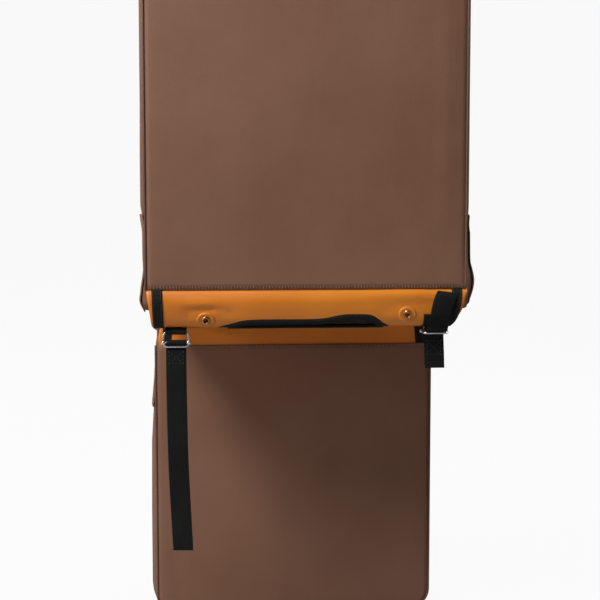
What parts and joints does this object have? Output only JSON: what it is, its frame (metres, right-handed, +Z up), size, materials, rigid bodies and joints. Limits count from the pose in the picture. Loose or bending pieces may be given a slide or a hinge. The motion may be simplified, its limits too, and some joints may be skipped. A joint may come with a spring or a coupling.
{
  "type": "double pannier bag",
  "caption": "Double pannier bag in coated cloth: two lidded bags on a bridge with hand grips, eyelets and buckled webbing straps.",
  "frame": {"origin": "centre of the bridge's underside, where it rests on the rack", "axes": "+X along the bicycle, +Y from the near bag to the far bag, +Z up"},
  "size_m": [0.3102, 0.2959, 0.672],
  "materials": {
    "tarpaulin_brown": "matt coated tarpaulin",
    "tarpaulin_orange": "satin coated tarpaulin",
    "lining_black": "coated lining",
    "webbing_black": "woven webbing",
    "board_plastic": "extruded sheet",
    "wire_steel": "nickel plated wire",
    "snap_metal": "plated",
    "eyelet_metal": "plated"
  },
  "bodies": {
    "root": {"bridge_panel": "tarpaulin_orange", "bridge_grip_bindings": "webbing_black", "near_fold_bands": "tarpaulin_orange", "far_fold_bands": "tarpaulin_orange", "fold_welts": "tarpaulin_orange", "left_anchor_loop": "webbing_black", "right_anchor_loop": "webbing_black", "right_buckle_frame": "wire_steel"},
    "near_bag": {"near_hanger_strip": "tarpaulin_orange", "near_eyelet_patches": "tarpaulin_orange", "near_eyelets": "eyelet_metal", "near_edge_tapes": "webbing_black", "near_grip_binding": "webbing_black", "near_back_panel": "tarpaulin_brown", "near_front_panel": "tarpaulin_brown", "near_gusset": "tarpaulin_brown", "near_back_piping": "tarpaulin_brown", "near_front_piping": "tarpaulin_brown", "near_back_lining": "lining_black", "near_back_board": "board_plastic", "near_bottom_board": "board_plastic", "near_mouth_facing": "lining_black", "near_bag_snaps": "snap_metal", "near_lid_welt": "tarpaulin_brown", "right_strap_upper": "webbing_black"},
    "near_lid": {"near_lid_panel": "tarpaulin_brown", "near_lid_left_ear": "tarpaulin_brown", "near_lid_right_ear": "tarpaulin_brown", "near_lid_board": "board_plastic", "near_lid_snaps": "snap_metal"},
    "far_bag": {"far_hanger_strip": "tarpaulin_orange", "far_eyelet_patches": "tarpaulin_orange", "far_eyelets": "eyelet_metal", "far_edge_tapes": "webbing_black", "far_grip_binding": "webbing_black", "far_back_panel": "tarpaulin_brown", "far_front_panel": "tarpaulin_brown", "far_gusset": "tarpaulin_brown", "far_back_piping": "tarpaulin_brown", "far_front_piping": "tarpaulin_brown", "far_back_lining": "lining_black", "far_back_board": "board_plastic", "far_bottom_board": "board_plastic", "far_mouth_facing": "lining_black", "far_bag_snaps": "snap_metal", "far_lid_welt": "tarpaulin_brown"},
    "far_lid": {"far_lid_panel": "tarpaulin_brown", "far_lid_left_ear": "tarpaulin_brown", "far_lid_right_ear": "tarpaulin_brown", "far_lid_board": "board_plastic", "far_lid_snaps": "snap_metal"},
    "left_buckle": {"left_buckle_frame": "wire_steel"},
    "left_bar": {"left_buckle_bar": "wire_steel"},
    "left_strap": {"left_tail": "webbing_black"},
    "right_bar": {"right_buckle_bar": "wire_steel"},
    "right_strap": {"right_tail": "webbing_black"}
  },
  "joints": [
    {"name": "near_bag_fold", "type": "hinge", "parent": "root", "child": "near_bag", "pos_m": [0, -0.08, 0.0028], "axis": [1, 0, 0], "range_deg": [0, 180]},
    {"name": "far_bag_fold", "type": "hinge", "parent": "root", "child": "far_bag", "pos_m": [0, 0.08, 0.0028], "axis": [-1, 0, 0], "range_deg": [-95, 0]},
    {"name": "near_lid_hinge", "type": "hinge", "parent": "near_bag", "child": "near_lid", "pos_m": [0, -0.0778, 0.0177], "axis": [-1, 0, 0], "range_deg": [0, 6]},
    {"name": "far_lid_hinge", "type": "hinge", "parent": "far_bag", "child": "far_lid", "pos_m": [0, 0.0822, -0.0121], "axis": [1, 0, 0], "range_deg": [0, 88]},
    {"name": "left_buckle_swing", "type": "hinge", "parent": "root", "child": "left_buckle", "pos_m": [-0.124, -0.0744, -0.0022], "axis": [1, 0, 0], "range_deg": [-60, 10]},
    {"name": "left_bar_slide", "type": "slide", "parent": "left_buckle", "child": "left_bar", "axis": [0, 0, 1], "range_m": [0, 0.004]},
    {"name": "left_strap_swing", "type": "hinge", "parent": "left_bar", "child": "left_strap", "pos_m": [-0.124, -0.0744, -0.0123], "axis": [1, 0, 0], "range_deg": [-4, 30]},
    {"name": "right_bar_slide", "type": "slide", "parent": "root", "child": "right_bar", "axis": [0, -0.9781, 0.2079], "range_m": [0, 0.004]},
    {"name": "right_strap_swing", "type": "hinge", "parent": "right_bar", "child": "right_strap", "pos_m": [0.1245, -0.06452, -0.0043], "axis": [1, 0, 0], "range_deg": [-15, 15]}
  ]
}
